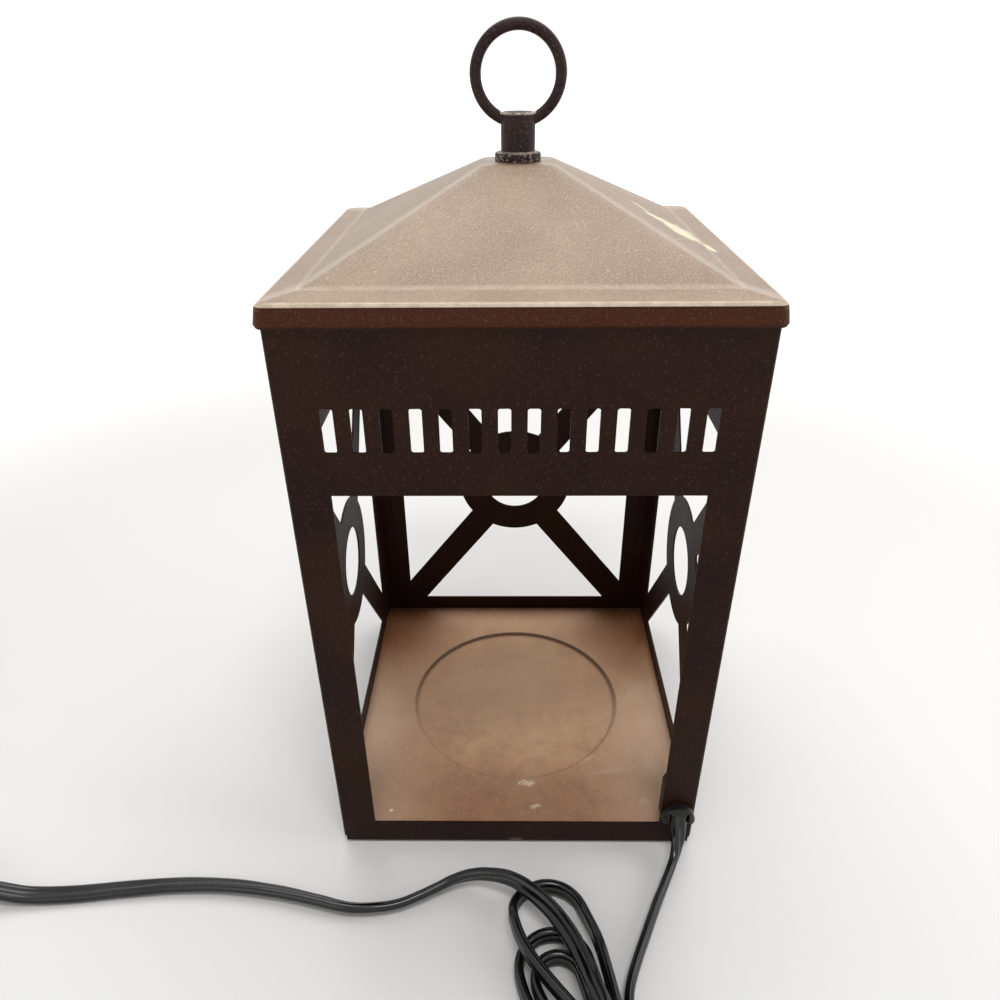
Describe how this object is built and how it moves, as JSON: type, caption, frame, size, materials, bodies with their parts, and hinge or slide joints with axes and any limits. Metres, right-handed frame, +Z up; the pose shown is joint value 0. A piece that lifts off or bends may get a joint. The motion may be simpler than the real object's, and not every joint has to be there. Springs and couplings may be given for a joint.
{
  "type": "candle warmer lamp",
  "caption": "Square sheet-metal lantern that warms a candle from above: open front, pierced sides, hip roof with ring finial, twist-lock lamp and a cord with switch.",
  "frame": {"origin": "centre of the base on the table, under the feet", "axes": "+Z up, -Y towards the open face, +X to the right as the open face is seen"},
  "size_m": [0.3943, 0.3244, 0.3057],
  "materials": {
    "body_coat": "semi-gloss powder coat, dark oil-rubbed bronze",
    "roof_coat": "semi-gloss powder coat, bronze with a warm sheen",
    "floor_coat": "satin hammered copper-brown coat",
    "finial_iron": "cast, painted near black, worn at the edges",
    "steel": "zinc plated",
    "ceramic": "glazed white ceramic",
    "lamp_glass": "clear moulded glass",
    "lamp_mirror": "aluminised moulded glass",
    "pin_brass": "plain",
    "black_plastic": "moulded, satin black",
    "foot_rubber": "matt black",
    "cord_pvc": "extruded flexible PVC, glossy black",
    "sleeve": "woven glass-fibre sleeve"
  },
  "bodies": {
    "lantern": {"front_panel": "body_coat", "left_panel": "body_coat", "right_panel": "body_coat", "back_panel": "body_coat", "floor_plate": "floor_coat", "foot_front_left": "foot_rubber", "foot_front_right": "foot_rubber", "foot_back_left": "foot_rubber", "foot_back_right": "foot_rubber", "roof": "roof_coat", "finial_collar": "finial_iron", "finial_ring": "finial_iron", "finial_stud": "steel", "stud_nut": "steel", "lamp_bracket": "steel", "lamp_holder": "ceramic", "holder_screws": "steel", "holder_leads": "sleeve", "splice_caps": "ceramic", "inner_lead": "cord_pvc", "lead_clips": "body_coat", "lead_guard": "black_plastic", "strain_relief": "black_plastic", "cord_lead": "cord_pvc", "cord_hank": "cord_pvc", "cord_tie": "cord_pvc", "cord_tail": "cord_pvc", "cord_end": "cord_pvc", "switch_base": "black_plastic", "switch_cover": "black_plastic", "switch_screws": "steel", "plug_body": "black_plastic", "plug_blades": "pin_brass"},
    "lamp": {"lamp_reflector": "lamp_mirror", "lamp_lens": "lamp_glass", "lamp_capsule": "lamp_glass", "lamp_cap": "ceramic", "lamp_pins": "pin_brass"},
    "thumbwheel": {"switch_wheel": "black_plastic"}
  },
  "joints": [
    {"name": "lamp_twist", "type": "hinge", "parent": "lantern", "child": "lamp", "pos_m": [0, 0, 0.2315], "axis": [0, 0, 1], "range_deg": [-20, 0]},
    {"name": "wheel_turn", "type": "hinge", "parent": "lantern", "child": "thumbwheel", "pos_m": [-0.25, -0.102, 0.008], "axis": [0, 0, 1], "continuous": true}
  ]
}
